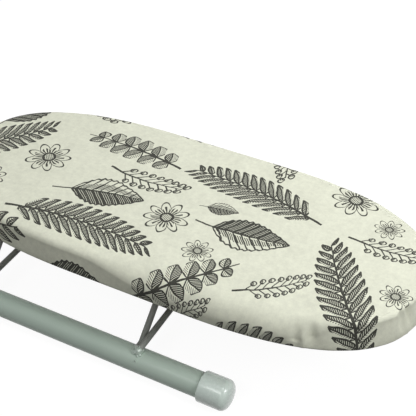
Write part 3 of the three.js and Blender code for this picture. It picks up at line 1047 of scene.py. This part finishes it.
# Foam pad under the cloth
def pad():
    """The cover's own shape drawn in, down to where its edge meets the panel's top."""
    limit = PANEL_TOP + PAD_CLEAR + PAD_EDGE
    fine = 160
    angles = np.linspace(0, math.pi / 2, fine)
    heights = np.array([edge_row(angle)[1] for angle in angles])
    last = np.array([np.interp(-limit, -heights[:, step], angles) for step in range(RING_STEPS)])
    crown_steps = 5
    rows = crown_rows(crown_steps)
    edge_steps = 10
    for step in range(edge_steps + 1):
        rows.append(edge_row(last * step / edge_steps))
    rows = [(inset + PAD_CLEAR, height - PAD_CLEAR) for inset, height in rows]
    rows.append((rows[-1][0] + PAD_TAPER, PANEL_TOP + FIT_GAP))
    shares = (SPINE_SHARE, 0.35, 0.7)
    rims = [ring_at(inset, height) for inset, height in rows]
    top = [drawn_in(rims[0], share) for share in shares]
    base = [drawn_in(rims[-1], share) for share in reversed(shares)]
    rings = top + rims + base
    points, faces = capped([ring.tolist() for ring in rings])
    piece = make_piece("pad_foam", points, faces, FOAM, "board", ["foam_pad"])


pad()


# Elastic cord in the hem
def hem_elastic():
    sides = 12
    rows = arc((HEM_MIDDLE, HEM_HEIGHT), ELASTIC_RADIUS, 0, 360, sides)[:-1]
    rings = [ring_at(inset, height).tolist() for inset, height in rows]
    points, faces = bridge(rings, closed=True)
    make_piece("hem_cord", points, faces, ELASTIC, "board", ["hem_elastic"])


hem_elastic()


# Panel of particle board, its upper edge rounded off under the pad
def panel():
    rows = [(PANEL_INSET + PANEL_RIM, PANEL_BOTTOM)]
    for x, z in arc((PANEL_LOWER_ROUND, PANEL_LOWER_ROUND), PANEL_LOWER_ROUND, 270, 180, 4):
        rows.append((PANEL_INSET + x, PANEL_BOTTOM + z))
    for x, z in arc((PANEL_ROUND, -PANEL_ROUND), PANEL_ROUND, 180, 90, 10):
        rows.append((PANEL_INSET + x, PANEL_TOP + z))
    rows.append((PANEL_INSET + PANEL_RIM, PANEL_TOP))
    rims = [ring_at(inset, height) for inset, height in rows]
    rings = [drawn_in(rims[0], SPINE_SHARE), *rims, drawn_in(rims[-1], SPINE_SHARE)]
    points, faces = capped([ring.tolist() for ring in rings])
    sharpen(make_piece("panel", points, faces, PANEL, "board", ["board_panel"]))


panel()


# Feet
ENDS = {"front": -1, "rear": 1}
SIDES = {"right": 1, "left": -1}


def foot(end):
    """One tube and the caps pushed on its ends."""
    centre = (FOOT_X, ENDS[end] * FOOT_Y, FOOT_Z)
    bore = TUBE_RADIUS - TUBE_WALL
    profile = [(bore, -TUBE_HALF), (TUBE_RADIUS, -TUBE_HALF)]
    profile += [(TUBE_RADIUS, TUBE_HALF), (bore, TUBE_HALF)]
    points, faces = lathe(profile, centre, (1, 0, 0), TUBE_SIDES, closed=True)
    sharpen(make_piece(f"{end}_tube", points, faces, PAINT, "base", [f"{end}_foot_tube"]))
    floor = TUBE_HALF + SEAT_GAP
    outer = floor + CAP_END
    mouth = floor - CAP_DEPTH
    profile = [(0, floor), (CAP_BORE, floor), (CAP_BORE, mouth)]
    lip_steps = 6
    for angle in np.linspace(0, math.pi / 2, lip_steps):
        inset = CAP_LIP * (1 - math.sin(angle))
        profile.append((CAP_RADIUS - inset, mouth + CAP_LIP * (1 - math.cos(angle))))
    power = 2 / CAP_FULLNESS
    round_steps = 24
    for angle in np.linspace(0, math.pi / 2, round_steps)[:-1]:
        height = (CAP_ROUND + CAP_CROWN) * math.sin(angle) ** power
        profile.append((CAP_RADIUS * math.cos(angle) ** power, outer - CAP_ROUND + height))
    profile.append((0, outer + CAP_CROWN))
    for side, sign in SIDES.items():
        points, faces = lathe(profile, centre, (sign, 0, 0), TUBE_SIDES)
        nodes = [f"{end}_{side}_end_cap"]
        sharpen(make_piece(f"{end}_{side}_cap", points, faces, CAP, "base", nodes))


for end in ENDS:
    foot(end)


# Wire stand
def strut(side):
    """One bent wire frame, with the tie rod beside it and the welds at the tie's ends."""
    place = STRUT_X[side]
    pin = TUBE_SIDE_Y + PIN_LENGTH
    flat = [
        (-pin, 0), (-STRUT_FOOT_Y, 0), (-STRUT_TOP_Y, STRUT_RISE),
        (STRUT_TOP_Y, STRUT_RISE), (STRUT_FOOT_Y, 0), (pin, 0),
    ]
    lean = math.sin(STRUT_LEAN)
    upright = math.cos(STRUT_LEAN)
    corners = [(place + rise * lean, y, PIVOT_Z + rise * upright) for y, rise in flat]
    points, faces = sweep(bent_line(corners))
    name = f"{side}_strut"
    make_piece(name, points, faces, WIRE, name, [f"{name}_frame"])
    tie = place + TIE_SHIFT
    points, faces = sweep([(tie, -TIE_HALF, TIE_Z), (tie, TIE_HALF, TIE_Z)])
    make_piece(f"{side}_tie", points, faces, WIRE, "base", [f"{side}_tie_rod"])
    for end, sign in ENDS.items():
        weld(f"{end}_{side}", sign, tie)


def lump(centre, half_sizes, rough, seed, detail):
    """A rounded lump of metal with an uneven skin."""
    ball = bmesh.new()
    bmesh.ops.create_icosphere(ball, subdivisions=detail, radius=1)
    points = []
    for vertex in ball.verts:
        swell = 1 + rough * noise.noise(vertex.co * SKIN_SCALE + seed)
        size = [a * b for a, b in zip(vertex.co, half_sizes)]
        points.append(Vector(centre) + Vector(size) * swell)
    faces = [tuple(v.index for v in face.verts) for face in ball.faces]
    ball.free()
    return points, faces


def weld(name, sign, tie):
    """The weld at a tie's end: overlapping lumps, and beads of spatter on the tube."""
    seed = Vector((tie, sign, 0))
    runs = []
    for (x, y, z), half_sizes, rough, detail in WELD_LUMPS:
        runs.append(((tie + x, sign * (FOOT_Y + y), TUBE_CREST_Z + z), half_sizes, rough, detail))
    away = TUBE_RADIUS + SPATTER_LIFT
    for turn, radius in SPATTER:
        out = away * math.sin(math.radians(turn))
        spot = (tie + SPATTER_SHIFT, sign * (FOOT_Y + out), FOOT_Z + away * math.cos(math.radians(turn)))
        runs.append((spot, (radius, radius, radius), SPATTER_ROUGHNESS, SPATTER_DETAIL))
    points = []
    faces = []
    for centre, half_sizes, rough, detail in runs:
        more, skin = lump(centre, half_sizes, rough, seed, detail)
        first = len(points)
        points += more
        faces += [tuple(first + corner for corner in face) for face in skin]
    make_piece(f"{name}_weld", points, faces, WELD, "base", [f"{name}_weld_bead"])


for side in STRUT_X:
    strut(side)


# Hardware under the panel
def strip(name, line, width, thickness, place, nodes):
    """A bent strip of sheet metal: its line of (x, z) in section, extruded along Y."""
    line = [Vector((x, z)) for x, z in line]
    offsets = []
    for step, here in enumerate(line):
        ahead = max(step, 1)
        into = (line[ahead] - line[ahead - 1]).normalized()
        out = (line[step + 1] - here).normalized() if step < len(line) - 1 else into
        along = (into + out).normalized()
        normal = Vector((-along.y, along.x))
        mitre = max(normal.dot(Vector((-into.y, into.x))), LEAST_MITRE)
        offsets.append(normal * (thickness / 2 / mitre))
    section = [p + o for p, o in zip(line, offsets)]
    section += [p - o for p, o in reversed(list(zip(line, offsets)))]
    points = []
    for y in (-width / 2, width / 2):
        points += [Vector((place[0] + p.x, place[1] + y, place[2] + p.y)) for p in section]
    count = len(section)
    half = count // 2
    faces = []
    for step in range(count):
        following = (step + 1) % count
        faces.append((step, following, count + following, count + step))
    for step in range(half - 1):
        faces.append((step, count - 1 - step, count - 2 - step, step + 1))
        faces.append((count + step, count + step + 1, 2 * count - 2 - step, 2 * count - 1 - step))
    bevel(
        make_piece(name, points, faces, ZINC, "board", nodes, smooth=False),
        STRIP_SOFTENING,
    )


def screw(name, place):
    """A pan head with a cross recess, and its shank."""
    low = -HEAD_HEIGHT - SEAT_GAP
    face = low + HEAD_FACE_RISE
    profile = [(radius, face + HEAD_DOME * radius * radius) for radius in HEAD_FACE]
    profile += [(radius, low + rise) for radius, rise in HEAD_SIDE]
    profile += [(HEAD_RADIUS, -SEAT_GAP - HEAD_ROUND), (HEAD_RADIUS - HEAD_ROUND, -SEAT_GAP)]
    profile += [(SHANK_RADIUS, -SEAT_GAP), (SHANK_RADIUS, SHANK_END), (0, SCREW_TIP)]
    points, faces = lathe(profile, place, (0, 0, 1), SCREW_SIDES)
    recessed = []
    for point in points:
        out = point - Vector(place)
        on_cross = min(abs(out.x), abs(out.y)) < RECESS_HALF
        in_reach = math.hypot(out.x, out.y) < RECESS_REACH and out.z < -SEAT_GAP - HEAD_ROUND
        lift = RECESS_DEPTH if on_cross and in_reach else 0
        recessed.append(point + Vector((0, 0, lift)))
    sharpen(make_piece(name + "_head", recessed, faces, ZINC, "board", [name]))


def hardware(side):
    """The saddles that hold a strut's bar under the panel, its stops, and their screws."""
    bar = STRUT_X[side] + TOP_SHIFT
    seat = PANEL_BOTTOM - FIT_GAP
    clear = ROD_RADIUS + FIT_GAP
    inner = clear + SADDLE_THICKNESS / 2
    flange = clear - SADDLE_THICKNESS / 2
    reach = inner + SADDLE_THICKNESS / 2 + SADDLE_FLANGE
    saddle = [(-reach, flange), (-inner - SADDLE_FOLD, flange), (-inner, flange - SADDLE_FOLD_RISE)]
    saddle += arc((0, 0), inner, 180, 360, 16)
    saddle += [(inner, flange - SADDLE_FOLD_RISE), (inner + SADDLE_FOLD, flange), (reach, flange)]
    saddle_screw = clear + SADDLE_THICKNESS + SADDLE_FLANGE / 2
    half = STOP_THICKNESS / 2
    stop = [(-STOP_THICKNESS - STOP_FLANGE, -half), (-half - STOP_FOLD, -half)]
    stop += [(-half - STOP_FOLD_MIDDLE, -half - STOP_FOLD_MIDDLE)]
    stop += [(-half, -half - STOP_FOLD), (-half, -STOP_DROP)]
    stop_face = bar - clear - STOP_DROP * math.sin(STRUT_LEAN)
    stop_screw = bar - clear - STOP_THICKNESS - STOP_FLANGE / 2
    for end, sign in ENDS.items():
        name = f"{side}_{end}_saddle"
        y = sign * SADDLE_Y
        strip(name + "_strap", saddle, SADDLE_WIDTH, SADDLE_THICKNESS, (bar, y, TOP_Z), [name])
        screw(name + "_screw_inner", (bar - saddle_screw, y, seat - SADDLE_THICKNESS))
        screw(name + "_screw_outer", (bar + saddle_screw, y, seat - SADDLE_THICKNESS))
        name = f"{side}_{end}_stop"
        y = sign * (STRUT_TOP_Y + STOP_INSET)
        strip(name + "_bracket", stop, STOP_WIDTH, STOP_THICKNESS, (stop_face, y, seat), [name])
        screw(name + "_screw", (stop_screw, y, seat - STOP_THICKNESS))


for side in STRUT_X:
    hardware(side)


# Floor, light and camera; the floor and lamps are in metres
WORLD_LIGHT = 0.12
FLOOR_WHITE = 0.12
FLOOR_GREY = 0.13
FLOOR_GLOW = 0.94
FLOOR_HALF = 4.0


def seen_share(tree):
    """1 for the rays that show a background: straight, in gloss or through something clear."""
    path = tree.nodes.new("ShaderNodeLightPath")
    kinds = ("Is Camera Ray", "Is Glossy Ray", "Is Transmission Ray")
    return either(*[Value(tree, path.outputs[kind]) for kind in kinds])


def floor():
    mesh = bpy.data.meshes.new("floor")
    corners = [(x * FLOOR_HALF, y * FLOOR_HALF, 0) for x, y in ((-1, -1), (1, -1), (1, 1), (-1, 1))]
    mesh.from_pydata(corners, [], [(0, 1, 2, 3)])
    material, tree, shader = new_material("pale_floor")
    tree.nodes.remove(shader)
    output = tree.nodes["Material Output"]
    diffuse = tree.nodes.new("ShaderNodeBsdfDiffuse")
    glow = tree.nodes.new("ShaderNodeEmission")
    glow.inputs["Color"].default_value = (1, 1, 1, 1)
    seen = seen_share(tree)
    link(tree, seen * FLOOR_GLOW, glow.inputs["Strength"])
    link(tree, seen * (FLOOR_GREY - FLOOR_WHITE) + FLOOR_WHITE, diffuse.inputs["Color"])
    both = tree.nodes.new("ShaderNodeAddShader")
    link(tree, diffuse.outputs[0], both.inputs[0])
    link(tree, glow.outputs[0], both.inputs[1])
    link(tree, both.outputs[0], output.inputs["Surface"])
    mesh.materials.append(material)
    plane = bpy.data.objects.new("floor", mesh)
    scene.collection.objects.link(plane)


floor()


def lamp(name, place, aim, size, watts):
    light = bpy.data.lights.new(name, "AREA")
    light.shape = "RECTANGLE"
    light.size = size[0]
    light.size_y = size[1]
    light.energy = watts
    piece = bpy.data.objects.new(name, light)
    piece.location = place
    piece.rotation_euler = (Vector(aim) - Vector(place)).to_track_quat("-Z", "Y").to_euler()
    scene.collection.objects.link(piece)


lamp("top_light", (0.25, -0.2, 1.55), (0, -0.05, 0.1), (0.4, 0.35), 3.3)
lamp("side_light", (1.25, -0.15, 0.95), (0, 0, 0.08), (0.5, 0.5), 8.6)
lamp("back_light", (0.3, 1.0, 1.25), (0, 0, 0.1), (0.7, 0.5), 13.0)
lamp("front_light", (-0.2, -1.05, 1.25), (0, 0, 0.08), (0.7, 0.4), 4.4)

world = bpy.data.worlds.new("studio")
world.use_nodes = True
backdrop = world.node_tree.nodes["Background"]
backdrop.inputs["Color"].default_value = (1, 1, 1, 1)
seen_light = seen_share(world.node_tree) * (1 - WORLD_LIGHT) + WORLD_LIGHT
link(world.node_tree, seen_light, backdrop.inputs["Strength"])
scene.world = world

camera_data = bpy.data.cameras.new("camera")
camera_data.lens = CAMERA_LENS
camera_data.sensor_width = SENSOR
camera_data.sensor_fit = "HORIZONTAL"
camera_data.clip_start = 0.01
camera_data.clip_end = 50
camera = bpy.data.objects.new("camera", camera_data)
level = math.cos(CAMERA_ELEVATION)
ahead = Vector((
    -math.sin(CAMERA_HEADING) * level,
    math.cos(CAMERA_HEADING) * level,
    -math.sin(CAMERA_ELEVATION),
))
camera.location = CAMERA_AT
camera.rotation_euler = ahead.to_track_quat("-Z", "Y").to_euler()
scene.collection.objects.link(camera)
scene.camera = camera
